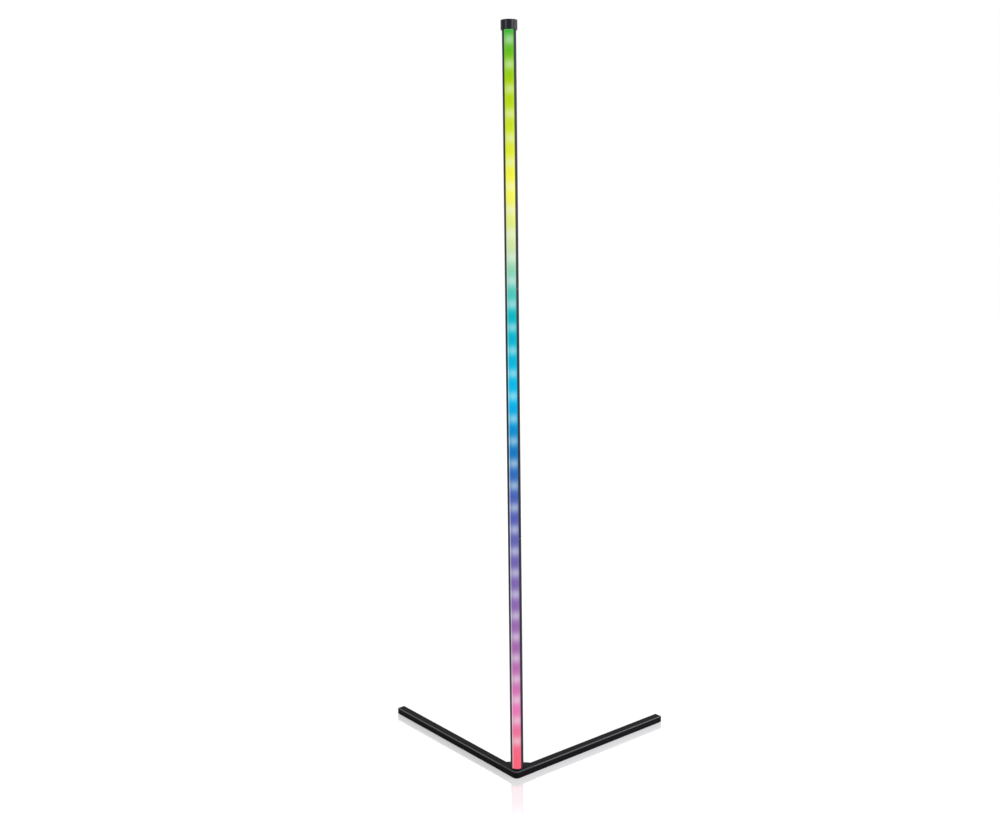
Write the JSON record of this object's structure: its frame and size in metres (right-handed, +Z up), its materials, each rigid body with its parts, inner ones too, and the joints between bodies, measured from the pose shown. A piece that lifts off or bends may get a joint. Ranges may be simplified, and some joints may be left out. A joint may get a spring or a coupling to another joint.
{
  "type": "corner floor lamp",
  "caption": "Corner floor lamp: a slim round pole, lit along its front by a milky diffuser in bands of coloured light, on a V-shaped base whose legs follow two walls.",
  "frame": {"origin": "on the floor, at the underside of the rubber pad, under the pole's axis", "axes": "+Z up along the pole; -Y the way the lit front and the point of the V look; +Y towards the open side of the V, where the power inlet is; +X to the right leg, seen from the lit front"},
  "size_m": [0.5656, 0.2911, 1.4],
  "materials": {
    "pole": "black anodised extrusion, satin",
    "steel": "zinc-plated steel, plain",
    "black_screw": "black oxide steel",
    "diffuser": "milky acrylic, satin outside, lit in coloured bands",
    "strip": "white solder mask on a flexible strip",
    "led_case": "white moulded LED case",
    "led_resin": "clear resin over the LED's dice",
    "ceramic": "tan ceramic",
    "receiver": "dark epoxy, glossy",
    "cap": "black moulding with a half-gloss skin",
    "black_plastic": "black moulding, fine matt grain",
    "corner_metal": "black powder coat, satin",
    "leg_metal": "black powder coat, satin",
    "rubber": "black, matt",
    "contact": "nickel-plated contact metal",
    "nut": "plain turned brass",
    "lead": "black cable jacket",
    "connector": "ivory nylon",
    "board": "green solder mask",
    "foam": "white foam tape",
    "can": "plain aluminium can",
    "parts": "dark moulded chips"
  },
  "bodies": {
    "root": {"pole_lower": "pole", "pole_middle": "pole", "pole_upper": "pole", "joiner_lower": "steel", "joiner_upper": "steel", "joiner_screws": "black_screw", "diffuser": "diffuser", "led_strip": "strip", "led_packages": "led_case", "led_wells": "led_resin", "strip_capacitors": "ceramic", "ir_receiver": "receiver", "strip_connector": "connector", "top_cap": "cap", "cap_screw": "black_screw", "pole_plug": "black_plastic", "plug_screws": "black_screw", "pole_bolts": "steel", "corner_piece": "corner_metal", "corner_cover": "steel", "cover_screws": "steel", "leg_left": "leg_metal", "leg_right": "leg_metal", "leg_screws": "steel", "leg_plug_left": "black_plastic", "leg_plug_right": "black_plastic", "rubber_pads": "rubber", "inlet_body": "black_plastic", "inlet_pin": "contact", "inlet_spring": "contact", "inlet_nut": "nut", "power_lead": "lead", "lead_socket": "connector", "control_board": "board", "board_tape": "foam", "control_chip": "black_plastic", "board_capacitors": "can", "board_parts": "parts"}
  },
  "joints": []
}
